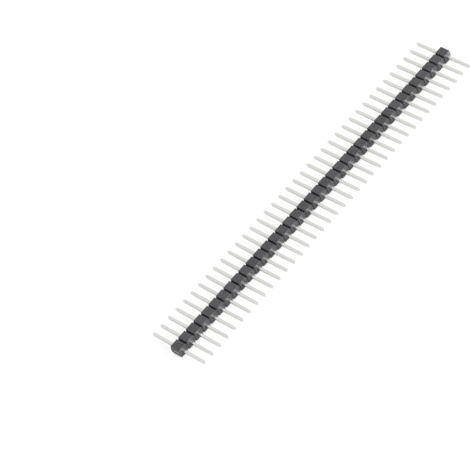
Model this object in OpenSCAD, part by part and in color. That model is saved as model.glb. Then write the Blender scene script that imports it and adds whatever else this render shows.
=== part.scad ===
// Breakaway pin header: one row of square pins pressed through a moulded housing.
// It lies on one long side: X runs along the row, Y along the pins and Z is up.
// The origin is on the surface that it lies on, under the middle of the housing.

/* [Row] */
// Number of pins
positions = 38; // [2:1:50]
// Distance from one pin to the next
pitch = 2.54; // [2.3:0.01:3.96]

/* [Housing] */
// Size of the housing along the pins
housing_depth = 2.5; // [1.5:0.1:9]
// Height of the housing as it lies
housing_height = 2.5; // [2.3:0.1:4]
// Bevel along the four long edges of the housing
edge_bevel = 0.06; // [0.04:0.01:0.3]

/* [Break notches] */
// Width of the upper and lower notches at their mouths
notch_mouth = 0.46; // [0.3:0.01:0.8]
// Width of the upper and lower notches at their floors
notch_floor = 0.12; // [0.04:0.01:0.25]
// Depth of the upper and lower notches
notch_depth = 0.7; // [0.3:0.05:1]
// Width of the groove down the front face at its mouth
groove_mouth = 0.62; // [0.5:0.01:1]
// Width of the groove at its floor
groove_floor = 0.46; // [0.1:0.01:0.48]
// Depth of the groove, which sets the web back from the front face
groove_depth = 0.2; // [0.05:0.01:0.4]

/* [Pins] */
// Side of the square pin
pin_width = 0.64; // [0.4:0.01:0.8]
// Length of pin in front of the housing
front_leg = 6.5; // [2:0.1:20]
// Length of pin behind the housing
rear_leg = 6.5; // [2:0.1:20]
// Length of the four-sided taper at each end
tip_length = 0.6; // [0.2:0.05:1.5]
// Width that is left at the end of the taper
tip_width = 0.3; // [0.1:0.01:0.38]
// Gap between a pin and each wall of its hole, 0 for a pressed pin
pin_gap = 0; // [0:0.01:0.05]

/* [Hidden] */
// Material that a cutter takes past the face that it opens
overcut = 1;
row_length = positions * pitch;
row_start = -row_length / 2;
pin_height = housing_height / 2;
pin_names = [for (i = [1:positions]) str("pin_", i < 10 ? "0" : "", i)];

// Lays a profile drawn in Y and Z along the row, with its middle at X = 0.
module along_row(length) {
    rotate([90, 0, 90]) linear_extrude(length, center = true) children();
}

// Lays a profile drawn in X and Z along the pins, with its middle at Y = 0.
module along_pins(length) {
    rotate([90, 0, 0]) linear_extrude(length, center = true) children();
}

// Section of the housing across the row, a square with bevelled corners.
module housing_section() {
    half = housing_depth / 2;
    top = housing_height;
    polygon([
        [-half + edge_bevel, 0], [half - edge_bevel, 0],
        [half, edge_bevel], [half, top - edge_bevel],
        [half - edge_bevel, top], [-half + edge_bevel, top],
        [-half, top - edge_bevel], [-half, edge_bevel]
    ]);
}

// Section of a notch or groove that opens towards +Y, with its mouth on the X axis.
module cut_section(mouth, floor_width, depth) {
    widening = (mouth - floor_width) / 2 / depth;
    outer = mouth / 2 + widening * overcut;
    polygon([
        [-floor_width / 2, -depth], [floor_width / 2, -depth],
        [outer, overcut], [-outer, overcut]
    ]);
}

// One break line: notches above and below, and a groove down the front face.
module break_line() {
    side_length = housing_depth + 2 * overcut;
    face_length = housing_height + 2 * overcut;
    translate([0, 0, pin_height]) {
        for (side = [0, 1]) mirror([0, 0, side])
            translate([0, 0, housing_height / 2]) along_pins(side_length)
                cut_section(notch_mouth, notch_floor, notch_depth);
        translate([0, -housing_depth / 2, 0]) mirror([0, 1, 0])
            linear_extrude(face_length, center = true)
                cut_section(groove_mouth, groove_floor, groove_depth);
    }
}

// Outline of a pin along Y, the same from above and from the side.
module pin_outline() {
    front = -housing_depth / 2 - front_leg;
    rear = housing_depth / 2 + rear_leg;
    body = pin_width / 2;
    tip = tip_width / 2;
    polygon([
        [-tip, front], [tip, front], [body, front + tip_length], [body, rear - tip_length],
        [tip, rear], [-tip, rear], [-body, rear - tip_length], [-body, front + tip_length]
    ]);
}

// Moves its children to the centre of pin number i, counted from 0.
module at_pin(i) {
    translate([row_start + (i + 0.5) * pitch, 0, pin_height]) children();
}

// The moulding: a bevelled bar, notched between the pins so that it snaps to length.
module housing() {
    hole = pin_width + 2 * pin_gap;
    color("#46464a") difference() {
        along_row(row_length) housing_section();
        for (i = [0:positions]) translate([row_start + i * pitch, 0, 0]) break_line();
        for (i = [0:positions - 1]) at_pin(i)
            cube([hole, housing_depth + 2 * overcut, hole], center = true);
    }
}

// One pin: two crossed outlines leave a square wire with tapered tips.
module pin() {
    color("#c9c9c4") intersection() {
        linear_extrude(pin_width, center = true) pin_outline();
        rotate([0, 90, 0]) linear_extrude(pin_width, center = true) pin_outline();
    }
}

housing();
for (i = [0:positions - 1])
    at_pin(i) pin();
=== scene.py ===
import math

import bmesh
import bpy
import numpy as np
from mathutils import Matrix, Vector, noise


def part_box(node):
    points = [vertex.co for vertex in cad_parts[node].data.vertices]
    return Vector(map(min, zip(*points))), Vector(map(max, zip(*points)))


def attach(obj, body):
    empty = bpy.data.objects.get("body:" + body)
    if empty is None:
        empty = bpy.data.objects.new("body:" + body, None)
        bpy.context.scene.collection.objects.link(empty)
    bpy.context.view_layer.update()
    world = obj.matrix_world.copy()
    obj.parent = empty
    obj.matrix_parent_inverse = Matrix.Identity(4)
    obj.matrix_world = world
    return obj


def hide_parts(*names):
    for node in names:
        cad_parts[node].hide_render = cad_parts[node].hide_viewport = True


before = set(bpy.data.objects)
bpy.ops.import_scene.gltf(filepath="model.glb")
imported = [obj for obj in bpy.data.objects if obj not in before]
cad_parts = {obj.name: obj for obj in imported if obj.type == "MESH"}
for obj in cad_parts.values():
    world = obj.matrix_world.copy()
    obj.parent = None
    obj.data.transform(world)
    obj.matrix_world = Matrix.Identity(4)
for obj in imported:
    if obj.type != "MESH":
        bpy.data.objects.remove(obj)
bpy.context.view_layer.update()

mm = 0.001
print("stage 1: CAD frame loaded,", len(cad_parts), "nodes")


cameraSpec = {
    "lookAt": (-16.64 * mm, 10.17 * mm, 0),
    "distance": 537.1 * mm,
    "azimuth": 33.37,      # degrees from straight in front, towards the first pin
    "elevation": 48.83,
    "roll": -21.3,
    "lens": 187.3,
    "sensor": 36,
    "clip": (0.01, 20),
}


def placeCamera(spec):
    azimuth, elevation = math.radians(spec["azimuth"]), math.radians(spec["elevation"])
    away = Vector((-math.sin(azimuth) * math.cos(elevation),
                   -math.cos(azimuth) * math.cos(elevation),
                   math.sin(elevation)))
    data = bpy.data.cameras.new("camera")
    data.lens, data.sensor_width = spec["lens"], spec["sensor"]
    data.clip_start, data.clip_end = spec["clip"]
    camera = bpy.data.objects.new("camera", data)
    turn = away.to_track_quat("Z", "Y").to_matrix().to_4x4()
    roll = Matrix.Rotation(math.radians(spec["roll"]), 4, "Z")
    place = Vector(spec["lookAt"]) + away * spec["distance"]
    camera.matrix_world = Matrix.Translation(place) @ turn @ roll
    bpy.context.scene.collection.objects.link(camera)
    bpy.context.scene.camera = camera


placeCamera(cameraSpec)
print("stage 2: camera placed")


# sizes that the pieces share, read from the CAD frame
housingLow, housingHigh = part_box("housing")
housingMiddle = (housingLow + housingHigh) / 2
halfDeep, halfHigh = (housingHigh.y - housingLow.y) / 2, (housingHigh.z - housingLow.z) / 2
pinNames = sorted(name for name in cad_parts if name.startswith("pin_"))
pinBoxes = {name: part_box(name) for name in pinNames}
pitch = (housingHigh.x - housingLow.x) / len(pinNames)
pinWidth = pinBoxes[pinNames[0]][1].x - pinBoxes[pinNames[0]][0].x

# every cross section has four rounded corners; its front and rear sides start at these points
cornerSteps = 4
sectionPoints = 4 * (cornerSteps + 1)
frontSide, rearSide = sectionPoints // 2 - 1, sectionPoints - 1


def roundedPath(points, radii, steps):
    # rounds the inner corners of an open path with arcs
    path = [Vector(points[0])]
    for before, corner, after, radius in zip(points, points[1:], points[2:], radii):
        corner = Vector(corner)
        backward = (Vector(before) - corner).normalized()
        forward = (Vector(after) - corner).normalized()
        half = backward.angle(forward) / 2
        centre = corner + (backward + forward).normalized() * radius / math.sin(half)
        first = corner + backward * radius / math.tan(half) - centre
        last = corner + forward * radius / math.tan(half) - centre
        for step in range(steps + 1):
            path.append(centre + first.slerp(last, step / steps) * radius)
    path.append(Vector(points[-1]))
    return path


def roundedSection(halfWide, halfTall, radius):
    # closed outline with arc corners, anticlockwise from the middle of the positive side;
    # the third number is 0 on the flats and 1 in the middle of a corner
    outline = []
    for quarter, (sideA, sideB) in enumerate(((1, 1), (-1, 1), (-1, -1), (1, -1))):
        for step in range(cornerSteps + 1):
            angle = (quarter + step / cornerSteps) * math.pi / 2
            outline.append((sideA * (halfWide - radius) + radius * math.cos(angle),
                            sideB * (halfTall - radius) + radius * math.sin(angle),
                            math.sin(math.pi * step / cornerSteps)))
    return outline


def around(loop):
    # every item of a closed loop with the one after it
    return list(zip(loop, loop[1:] + loop[:1]))


def bridge(bm, first, second):
    # a band of faces between two closed loops of points
    for (a, b), (c, d) in zip(around(first), around(second)):
        bm.faces.new((a, b, d, c))


def finishMesh(bm, name, body, cadNode, material):
    bmesh.ops.remove_doubles(bm, verts=bm.verts, dist=0.0001 * mm)
    bmesh.ops.recalc_face_normals(bm, faces=bm.faces)
    mesh = bpy.data.meshes.new(name)
    bm.to_mesh(mesh)
    bm.free()
    mesh.shade_smooth()
    piece = bpy.data.objects.new(name, mesh)
    bpy.context.scene.collection.objects.link(piece)
    # large faces keep their own direction, so that the narrow bevels take the turn
    weighted = piece.modifiers.new("weightedNormals", "WEIGHTED_NORMAL")
    weighted.weight = 100
    weighted.keep_sharp = True
    mesh.materials.append(material)
    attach(piece, body)
    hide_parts(cadNode)
    return piece


def node(tree, kind, settings=None, **inputs):
    # adds a node; inputs are named in camelCase, so detailScale stands for "Detail Scale",
    # or by their number, so i2 stands for the third
    made = tree.nodes.new(kind)
    for key, value in (settings or {}).items():
        setattr(made, key, value)
    for key, value in inputs.items():
        words = "".join(" " + letter if letter.isupper() else letter for letter in key)
        socket = made.inputs[int(key[1:])] if key[0] == "i" and key[1:].isdigit() \
            else made.inputs[words[0].upper() + words[1:]]
        if isinstance(value, bpy.types.NodeSocket):
            tree.links.new(value, socket)
        else:
            socket.default_value = value
    return made


def mathNode(tree, operation, first, second=0.5, third=0.0, clamp=False):
    made = node(tree, "ShaderNodeMath", {"operation": operation, "use_clamp": clamp},
                i0=first, i1=second, i2=third)
    return made.outputs[0]


def mixColour(tree, factor, first, second):
    made = node(tree, "ShaderNodeMix", {"data_type": "RGBA"}, i0=factor, i6=first, i7=second)
    return made.outputs[2]


def mixValue(tree, factor, first, second):
    made = node(tree, "ShaderNodeMix", {"data_type": "FLOAT"}, i0=factor, i2=first, i3=second)
    return made.outputs[0]


def noiseNode(tree, where, scale, detail, roughness):
    made = node(tree, "ShaderNodeTexNoise", vector=where, scale=scale, detail=detail,
                roughness=roughness)
    return made.outputs["Fac"]


def newGroup(name, inputs, outputs):
    group = bpy.data.node_groups.new(name, "ShaderNodeTree")
    for label, kind, default in inputs:
        socket = group.interface.new_socket(label, in_out="INPUT", socket_type=kind)
        if default is not None:
            socket.default_value = default
    for label, kind in outputs:
        group.interface.new_socket(label, in_out="OUTPUT", socket_type=kind)
    return group, group.nodes.new("NodeGroupInput"), group.nodes.new("NodeGroupOutput")


def placeGroup(tree, group, **inputs):
    return node(tree, "ShaderNodeGroup", {"node_tree": group}, **inputs)


def makeGrainGroup():
    # fine grain over slow cloudiness: a height for bumps and a tone for colours
    group, start, end = newGroup(
        "surfaceGrain",
        [("Vector", "NodeSocketVector", None), ("Grain Scale", "NodeSocketFloat", 12000.0),
         ("Cloud Scale", "NodeSocketFloat", 600.0), ("Stretch", "NodeSocketVector", (1, 1, 1)),
         ("Contrast", "NodeSocketFloat", 1.0)],
        [("Height", "NodeSocketFloat"), ("Tone", "NodeSocketFloat")])
    stretched = node(group, "ShaderNodeVectorMath", {"operation": "MULTIPLY"},
                     i0=start.outputs["Vector"], i1=start.outputs["Stretch"]).outputs[0]
    grain = noiseNode(group, stretched, start.outputs["Grain Scale"], 3.0, 0.6)
    cloud = noiseNode(group, stretched, start.outputs["Cloud Scale"], 2.0, 0.5)
    mixed = mathNode(group, "MULTIPLY_ADD", grain, 0.35, mathNode(group, "MULTIPLY", cloud, 0.65))
    swing = mathNode(group, "MULTIPLY", mathNode(group, "SUBTRACT", mixed, 0.5),
                     start.outputs["Contrast"])
    tone = mathNode(group, "ADD", swing, 0.5, clamp=True)
    group.links.new(grain, end.inputs["Height"])
    group.links.new(tone, end.inputs["Tone"])
    return group


def makeWearGroup():
    # rubbed edges: the painted rim of the mesh, broken up into patches by noise
    group, start, end = newGroup(
        "rubbedEdges",
        [("Vector", "NodeSocketVector", None), ("Breakup Scale", "NodeSocketFloat", 2500.0),
         ("Amount", "NodeSocketFloat", 0.5)],
        [("Mask", "NodeSocketFloat")])
    rim = node(group, "ShaderNodeAttribute", {"attribute_name": "rim"}).outputs["Fac"]
    breakup = noiseNode(group, start.outputs["Vector"], start.outputs["Breakup Scale"], 4.0, 0.6)
    patches = mathNode(group, "MULTIPLY_ADD", breakup, 3.0, -1.0, clamp=True)
    mask = mathNode(group, "MULTIPLY", mathNode(group, "MULTIPLY", rim, patches),
                    start.outputs["Amount"], clamp=True)
    group.links.new(mask, end.inputs["Mask"])
    return group


def newMaterial(name):
    material = bpy.data.materials.new(name)
    material.use_nodes = True
    tree = material.node_tree
    tree.nodes.clear()
    shader = tree.nodes.new("ShaderNodeBsdfPrincipled")
    output = tree.nodes.new("ShaderNodeOutputMaterial")
    tree.links.new(shader.outputs[0], output.inputs[0])
    return material, tree, shader


def shade(colour, gain, lift=0.0):
    # a darker or lighter version of a colour
    return tuple(min(1.0, channel * gain + lift) for channel in colour[:3]) + (1,)


surfaceGrain = makeGrainGroup()
rubbedEdges = makeWearGroup()


# the housing is one moulding with a break notch between every two pins
housingSpec = {
    "longEdgeRadius": 0.06 * mm,
    "leastEdgeRadius": 0.03 * mm,    # what is left of it inside a notch
    "notchMouth": 0.46 * mm,
    "notchFloor": 0.12 * mm,
    "notchDepth": 0.70 * mm,
    "grooveMouth": 0.62 * mm,
    "grooveFloor": 0.46 * mm,
    "grooveDepth": 0.20 * mm,
    "rimRadius": 0.05 * mm,          # where a block turns into a notch
    "floorRadius": 0.025 * mm,       # at the foot of a notch
    "arcSteps": 4,
    "stationGap": 0.004 * mm,        # sections closer together than this are merged
    "holeRim": 0.03 * mm,            # rounding round each pin
    "snapRelief": 0.10 * mm,         # how uneven the snapped ends are
    "snapWaves": ((1.6, 0.6), (5.5, 0.5)),    # the unevenness: waves per mm and their strength
    "outlineRelief": 0.032 * mm,     # the edge of a tear stays nearly straight
    "chipDepth": 0.14 * mm,          # the tear runs deeper towards the rear
    "chipStart": 0.35,               # mm behind the middle
    "tearRings": (0.9, 0.78, 0.66, 0.54, 0.42, 0.3, 0.18, 0.08),
    "tearPointGap": 0.12 * mm,
    "plastic": (0.055, 0.055, 0.060, 1),
    "paleBreakAndLit": (0.80, 0.80, 0.82, 1),
    "roughness": 0.25,
    "roughnessSwing": 0.16,
    "ior": 1.58,
    "grainScale": 9000.0,
    "cloudScale": 2600.0,
    "grainContrast": 4.0,
    "grainHeight": 0.009 * mm,
    "patchScale": 300.0,
    "patchiness": 1.6,               # how far the tone drifts from block to block
    "wearScale": 2200.0,
    "wearAmount": 0.3,
    "fleckScale": 5200.0,            # flecks in the whitening of the tears
    "stressRise": (1.25 * mm, 1.50 * mm),    # the whitening grows over this height
    "stressLow": 0.2,
    "tornRoughness": 0.72,
    "tornHeight": 0.05 * mm,
    "hazeNear": (0.7 * mm, 0.10),    # stress haze and painted light on the front: reach from the first end, strength
    "hazeFar": (1.5 * mm, 0.16),     # and from the last end
    "hazeAndLightDepth": (0.05 * mm, 0.30 * mm),     # it fades between these depths behind the front
}


def notchStations(spec):
    # distance from a break line, cut above and below, cut in front, rim paint
    def profile(mouth, floor, depth):
        corners = [(0, depth), (floor / 2, depth), (mouth / 2, 0), (pitch / 2, 0)]
        return roundedPath(corners, [spec["floorRadius"], spec["rimRadius"]], spec["arcSteps"])

    def cutAt(path, distance):
        return float(np.interp(distance, [point.x for point in path], [point.y for point in path]))

    upper = profile(spec["notchMouth"], spec["notchFloor"], spec["notchDepth"])
    front = profile(spec["grooveMouth"], spec["grooveFloor"], spec["grooveDepth"])
    kept = [0.0]
    for distance in sorted(point.x for point in upper[:-1] + front[:-1]):
        if distance - kept[-1] > spec["stationGap"]:
            kept.append(distance)
    kept[-1] = max(upper[-2].x, front[-2].x)
    stations = []
    for distance in kept:
        fromMouth = min(abs(distance - spec[key] / 2) for key in ("notchMouth", "grooveMouth"))
        fromMouth /= spec["rimRadius"]
        rim = max(0.0, 1 - fromMouth * 1.4)
        stations.append((distance, cutAt(upper, distance), cutAt(front, distance), rim))
    return stations


def housingSlices(spec):
    # sections along the row: place, cut above and below, cut in front, rim paint,
    # and True where the plain part of a block follows
    notch = notchStations(spec)
    slices = []
    for index in range(len(pinNames)):
        left, right = housingLow.x + index * pitch, housingLow.x + (index + 1) * pitch
        for distance, *cuts in notch if index == 0 else notch[1:]:
            slices.append([left + distance, *cuts, False])
        slices[-1][-1] = True
        for distance, *cuts in reversed(notch):
            slices.append([right - distance, *cuts, False])
    return slices


def housingRing(bm, spec, x, upperCut, frontCut, rim, rimLayer):
    # the long edges are sharper inside a notch
    corner = max(spec["leastEdgeRadius"], spec["longEdgeRadius"] - 1.2 * (upperCut + frontCut))
    ring = []
    for y, z, edge in roundedSection(halfDeep - frontCut / 2, halfHigh - upperCut, corner):
        vert = bm.verts.new((x, housingMiddle.y + frontCut / 2 + y, housingMiddle.z + z))
        vert[rimLayer] = max(edge, rim)
        ring.append(vert)
    return ring


def pinHole(bm, spec, x, first, second):
    # a square hole from front to rear between two sections, with a rim at each mouth
    hole, lip = pinWidth / 2, spec["holeRim"]

    def square(y, half):
        return [bm.verts.new((x + a * half, y, housingMiddle.z + b * half))
                for a, b in ((-1, -1), (1, -1), (1, 1), (-1, 1))]

    def lowAndHigh(ring, side):
        return sorted((ring[side], ring[(side + 1) % sectionPoints]), key=lambda vert: vert.co.z)

    throats = []
    for side, y, inward in ((frontSide, housingMiddle.y - halfDeep, 1),
                            (rearSide, housingMiddle.y + halfDeep, -1)):
        low, high = lowAndHigh(first, side)
        lowBeyond, highBeyond = lowAndHigh(second, side)
        mouth = square(y, hole + lip)
        throat = square(y + inward * lip, hole)
        bridge(bm, [low, lowBeyond, highBeyond, high], mouth)
        bridge(bm, mouth, throat)
        throats.append(throat)
    bridge(bm, *throats)


def tearPoints(bm, spec, ring):
    # spare points on the long sides of an end outline, so that the tear can be uneven
    spare = {}
    for side, (start, end) in enumerate(around(ring)):
        parts = round((end.co - start.co).length / spec["tearPointGap"])
        if parts > 1:
            spare[side] = [bm.verts.new(start.co.lerp(end.co, part / parts))
                           for part in range(1, parts)]
    return spare


def snappedEnd(bm, outline, inward, spec, rimLayer, tornLayer):
    # the torn web: rings of faces run from its outline to the middle of the tear
    x = outline[0].co.x
    middle = sum((vert.co for vert in outline), Vector()) / len(outline)
    tears = [outline]
    for share in spec["tearRings"]:
        tears.append([bm.verts.new(middle + (vert.co - middle) * share) for vert in outline])
    for outer, inner in zip(tears, tears[1:]):
        bridge(bm, outer, inner)
    bm.faces.new(tears[-1])
    for tear in tears:
        for vert in tear:
            spot = Vector((vert.co.y, vert.co.z, x)) / mm
            rough = 0.5
            for waves, strength in spec["snapWaves"]:
                rough += strength * noise.noise(spot * waves)
            relief = spec["snapRelief"] * min(1.0, max(0.0, rough))
            if tear is outline:
                relief = min(relief, spec["outlineRelief"])
            else:
                rearward = (spot.x + 0.3 * noise.noise(spot * 3) - spec["chipStart"]) / 0.3
                relief += spec["chipDepth"] * min(1.0, max(0.0, rearward))
            vert.co.x += inward * relief
            vert[rimLayer] = 0.6
            vert[tornLayer] = 1.0


def moulding(spec, material):
    bm = bmesh.new()
    rimLayer = bm.verts.layers.float.new("rim")
    tornLayer = bm.verts.layers.float.new("torn")
    slices = housingSlices(spec)
    rings = [housingRing(bm, spec, *cuts, rimLayer) for *cuts, _ in slices]
    last = len(rings) - 1
    spares = {index: tearPoints(bm, spec, rings[index]) for index in (0, last)}
    for index, (first, second) in enumerate(zip(rings, rings[1:])):
        plain = slices[index][-1]
        for side, ((a, b), (c, d)) in enumerate(zip(around(first), around(second))):
            if plain and side in (frontSide, rearSide):
                continue
            before = spares.get(index, {}).get(side, [])
            after = spares.get(index + 1, {}).get(side, [])
            bm.faces.new([a, *before, b, d, *reversed(after), c])
        if plain:
            pinHole(bm, spec, (slices[index][0] + slices[index + 1][0]) / 2, first, second)
    for index, inward in ((0, 1), (last, -1)):
        outline = []
        for side, vert in enumerate(rings[index]):
            outline += [vert, *spares[index].get(side, [])]
        snappedEnd(bm, outline, inward, spec, rimLayer, tornLayer)
    return finishMesh(bm, "housing_moulding", "root", "housing", material)


def makePlastic(spec):
    material, tree, shader = newMaterial("moulded_black_plastic")
    where = node(tree, "ShaderNodeTexCoord").outputs["Object"]
    place = node(tree, "ShaderNodeSeparateXYZ", vector=where).outputs
    grain = placeGroup(tree, surfaceGrain, vector=where, grainScale=spec["grainScale"],
                       cloudScale=spec["cloudScale"], contrast=spec["grainContrast"])
    patches = noiseNode(tree, where, spec["patchScale"], 1.0, 0.5)
    tone = mathNode(tree, "MULTIPLY_ADD", mathNode(tree, "SUBTRACT", patches, 0.5),
                    spec["patchiness"], grain.outputs["Tone"], clamp=True)
    wear = placeGroup(tree, rubbedEdges, vector=where, breakupScale=spec["wearScale"],
                      amount=spec["wearAmount"])

    # torn ends: stress has whitened them, most of all along the upper edge of the web
    torn = node(tree, "ShaderNodeAttribute", {"attribute_name": "torn"}).outputs["Fac"]
    speckle = noiseNode(tree, where, spec["fleckScale"], 5.0, 0.7)
    stressFrom, stressTo = spec["stressRise"]
    stress = node(tree, "ShaderNodeMapRange", {"interpolation_type": "SMOOTHSTEP"}, value=place["Z"],
                  fromMin=stressFrom, fromMax=stressTo, toMin=spec["stressLow"], toMax=1.0)
    flecks = mathNode(tree, "MULTIPLY_ADD", speckle, 5.0, -2.0, clamp=True)
    whitenedAndLit = mathNode(tree, "MULTIPLY", mathNode(tree, "MULTIPLY", torn, stress.outputs["Result"]),
                        mathNode(tree, "MULTIPLY_ADD", flecks, 0.5, 0.5), clamp=True)

    # the front of the two end blocks is paler, partly haze from the tears and partly painted light
    shallow, deep = (housingLow.y + depth for depth in spec["hazeAndLightDepth"])
    front = node(tree, "ShaderNodeMapRange", value=place["Y"], fromMin=deep, fromMax=shallow)
    hazeAndLight = 0.0
    for end, away, (reach, strength) in ((housingLow.x, 1, spec["hazeNear"]),
                                         (housingHigh.x, -1, spec["hazeFar"])):
        spread = node(tree, "ShaderNodeMapRange", {"interpolation_type": "SMOOTHSTEP"},
                      value=place["X"], fromMin=end + away * reach, fromMax=end + away * reach * 0.4,
                      toMax=strength)
        hazeAndLight = mathNode(tree, "ADD", hazeAndLight, spread.outputs["Result"])
    hazeAndLight = mathNode(tree, "MULTIPLY", mathNode(tree, "MULTIPLY", hazeAndLight, front.outputs["Result"]),
                    mathNode(tree, "MULTIPLY_ADD", speckle, 1.0, 0.5))
    # the painted light on the end blocks' fronts joins the whitening here and takes the same pale
    # colour
    whitenedAndLit = mathNode(tree, "MAXIMUM", whitenedAndLit, hazeAndLight)

    plastic = spec["plastic"]
    body = mixColour(tree, tone, shade(plastic, 0.62), shade(plastic, 1.40))
    worn = mixColour(tree, wear.outputs["Mask"], body, shade(plastic, 1.9, 0.01))
    colour = mixColour(tree, whitenedAndLit, worn, spec["paleBreakAndLit"])
    tree.links.new(colour, shader.inputs["Base Color"])
    matte = mathNode(tree, "MULTIPLY_ADD", grain.outputs["Tone"], spec["roughnessSwing"],
                     spec["roughness"] - spec["roughnessSwing"] / 2)
    matte = mixValue(tree, torn, matte, spec["tornRoughness"])
    tree.links.new(matte, shader.inputs["Roughness"])
    shader.inputs["IOR"].default_value = spec["ior"]
    fine = mathNode(tree, "MULTIPLY", grain.outputs["Height"], spec["grainHeight"])
    coarse = mathNode(tree, "MULTIPLY", speckle, spec["tornHeight"])
    bump = node(tree, "ShaderNodeBump", strength=1.0, distance=1.0,
                height=mixValue(tree, torn, fine, coarse))
    tree.links.new(bump.outputs[0], shader.inputs["Normal"])
    return material


mouldedPlastic = makePlastic(housingSpec)
housingPiece = moulding(housingSpec, mouldedPlastic)
print("stage 3: housing built,", len(housingPiece.data.polygons), "faces")


# the pins are square drawn wire with cropped, tapered ends
pinSpec = {
    "cornerRadius": 0.08 * mm,
    "tipLength": 0.60 * mm,
    "tipWidth": 0.30 * mm,
    "tipRadius": 0.06 * mm,        # round the cropped end
    "shoulderRadius": 0.50 * mm,   # where the taper starts
    "arcSteps": 5,
    "straightSections": (-0.6, -0.3, 0, 0.3, 0.6),
    "tin": (0.705, 0.705, 0.685, 1),
    "roughness": 0.14,
    "roughnessSwing": 0.16,
    "grainScale": 9000.0,
    "cloudScale": 1400.0,
    "drawing": (1, 0.04, 1),       # drawing marks run along the wire, so the grain is stretched
    "markHeight": 0.0012 * mm,
    "mottleScale": 900.0,
    "mottleHeight": 0.003 * mm,
    "wearScale": 1800.0,
    "wearAmount": 0.5,
}


def wire(spec, name, material):
    low, high = pinBoxes[name]
    middle = (low + high) / 2
    half, reach, tip = pinWidth / 2, (high.y - low.y) / 2, spec["tipWidth"] / 2
    profile = roundedPath([(0, half), (reach - spec["tipLength"], half), (reach, tip), (reach, 0)],
                          [spec["shoulderRadius"], spec["tipRadius"]], spec["arcSteps"])[1:-1]
    stations = [(-point.x, point.y) for point in reversed(profile)]
    stations += [(share * profile[0].x, half) for share in spec["straightSections"]]
    stations += [(point.x, point.y) for point in profile]
    bm = bmesh.new()
    rimLayer = bm.verts.layers.float.new("rim")
    rings = []
    for y, width in stations:
        ring = []
        for x, z, edge in roundedSection(width, width, min(spec["cornerRadius"], 0.45 * width)):
            vert = bm.verts.new((middle.x + x, middle.y + y, middle.z + z))
            vert[rimLayer] = max(edge, 1.0 if width < tip else 0.0)
            ring.append(vert)
        rings.append(ring)
    for first, second in zip(rings, rings[1:]):
        bridge(bm, first, second)
    bm.faces.new(rings[0])
    bm.faces.new(rings[-1])
    return finishMesh(bm, name.replace("pin", "wire"), "root", name, material)


def makeTin(spec):
    material, tree, shader = newMaterial("tinned_wire")
    where = node(tree, "ShaderNodeTexCoord").outputs["Object"]
    drawn = placeGroup(tree, surfaceGrain, vector=where, grainScale=spec["grainScale"],
                       cloudScale=spec["cloudScale"], stretch=spec["drawing"])
    mottle = noiseNode(tree, where, spec["mottleScale"], 3.0, 0.55)
    wear = placeGroup(tree, rubbedEdges, vector=where, breakupScale=spec["wearScale"],
                      amount=spec["wearAmount"])
    tin = spec["tin"]
    toned = mixColour(tree, drawn.outputs["Tone"], shade(tin, 0.9), shade(tin, 1.08))
    colour = mixColour(tree, wear.outputs["Mask"], toned, shade(tin, 1.15))
    tree.links.new(colour, shader.inputs["Base Color"])
    shader.inputs["Metallic"].default_value = 1.0
    rough = mathNode(tree, "MULTIPLY_ADD", mottle, spec["roughnessSwing"],
                     spec["roughness"] - spec["roughnessSwing"] / 2)
    tree.links.new(rough, shader.inputs["Roughness"])
    relief = mathNode(tree, "MULTIPLY_ADD", drawn.outputs["Height"], spec["markHeight"],
                      mathNode(tree, "MULTIPLY", mottle, spec["mottleHeight"]))
    bump = node(tree, "ShaderNodeBump", strength=1.0, distance=1.0, height=relief)
    tree.links.new(bump.outputs[0], shader.inputs["Normal"])
    return material


tinnedWire = makeTin(pinSpec)
wires = [wire(pinSpec, name, tinnedWire) for name in pinNames]
print("stage 4: pins built,", len(wires), "wires")


studioSpec = {
    "floorSize": 3.0,
    "floorCells": 8,
    "floorColour": 0.80,        # what lights and reflections meet
    "floorColourSeen": 0.25,    # what the camera meets, lifted to white, so that shadows stay faint
    "floorLiftSeen": 0.85,
    "floorLiftReflected": 0.34,
    "floorRoughness": 0.9,
    "contactReach": 1.0 * mm,   # the lift fades where the floor is hemmed in this closely, a painted contact shade
    "contactFade": (0.1, 0.5),
    "worldLight": 0.40,
    "lamps": {
        "key": {"place": (0.30, -0.68, 0.42), "wide": 0.80, "high": 0.74, "watts": 8.5},
    },
}


def lightPaths(tree):
    # camera rays, then rays that glossy and clear surfaces send out
    path = node(tree, "ShaderNodeLightPath").outputs
    reflected = mathNode(tree, "MAXIMUM", path["Is Glossy Ray"], path["Is Transmission Ray"])
    return path["Is Camera Ray"], reflected


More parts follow.
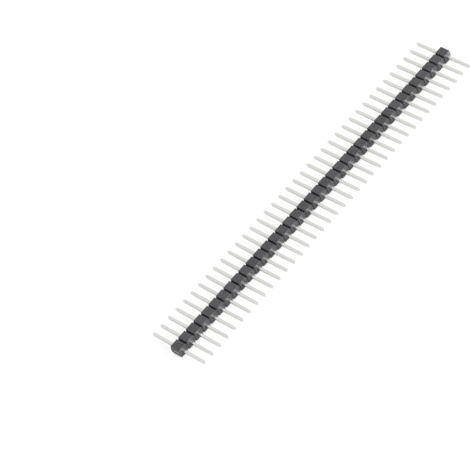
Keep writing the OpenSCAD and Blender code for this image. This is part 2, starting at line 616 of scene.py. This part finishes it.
def makeFloor(spec):
    bm = bmesh.new()
    bmesh.ops.create_grid(bm, x_segments=spec["floorCells"], y_segments=spec["floorCells"],
                          size=spec["floorSize"] / 2)
    mesh = bpy.data.meshes.new("floor")
    bm.to_mesh(mesh)
    bm.free()
    floor = bpy.data.objects.new("floor", mesh)
    bpy.context.scene.collection.objects.link(floor)
    material, tree, shader = newMaterial("pale_floor")
    material.cycles.emission_sampling = "NONE"
    seen, reflected = lightPaths(tree)
    own, shown = ((spec[key],) * 3 + (1,) for key in ("floorColour", "floorColourSeen"))
    tree.links.new(mixColour(tree, seen, own, shown), shader.inputs["Base Color"])
    shader.inputs["Roughness"].default_value = spec["floorRoughness"]
    shader.inputs["Specular IOR Level"].default_value = 0.0
    shader.inputs["Emission Color"].default_value = (1, 1, 1, 1)
    # painted contact shade: the floor's glow dims where it is hemmed in; the break notches are such
    # a place, and so is the line where the housing meets the floor
    openness = node(tree, "ShaderNodeAmbientOcclusion", {"samples": 6},
                    distance=spec["contactReach"]).outputs["AO"]
    fadeFrom, fadeTo = spec["contactFade"]
    free = node(tree, "ShaderNodeMapRange", value=openness, fromMin=fadeFrom, fromMax=fadeTo)
    lift = mathNode(tree, "MULTIPLY_ADD", seen, spec["floorLiftSeen"],
                    mathNode(tree, "MULTIPLY", reflected, spec["floorLiftReflected"]))
    lift = mathNode(tree, "MULTIPLY", lift, free.outputs["Result"])
    tree.links.new(lift, shader.inputs["Emission Strength"])
    mesh.materials.append(material)


def makeWorld(spec):
    world = bpy.data.worlds.new("studio")
    bpy.context.scene.world = world
    world.use_nodes = True
    tree = world.node_tree
    tree.nodes.clear()
    seen, reflected = lightPaths(tree)
    strength = mixValue(tree, mathNode(tree, "MAXIMUM", seen, reflected), spec["worldLight"], 1.0)
    background = node(tree, "ShaderNodeBackground", color=(1, 1, 1, 1), strength=strength)
    output = tree.nodes.new("ShaderNodeOutputWorld")
    tree.links.new(background.outputs[0], output.inputs[0])


def makeLamps(spec):
    for name, lamp in spec["lamps"].items():
        data = bpy.data.lights.new(name, "AREA")
        data.shape = "RECTANGLE"
        data.size, data.size_y = lamp["wide"], lamp["high"]
        data.energy = lamp["watts"]
        light = bpy.data.objects.new(name, data)
        light.location = lamp["place"]
        light.rotation_euler = Vector(lamp["place"]).to_track_quat("Z", "Y").to_euler()
        bpy.context.scene.collection.objects.link(light)


makeFloor(studioSpec)
makeWorld(studioSpec)
makeLamps(studioSpec)
bpy.context.scene.view_settings.view_transform = "Standard"
print("stage 5: studio built")
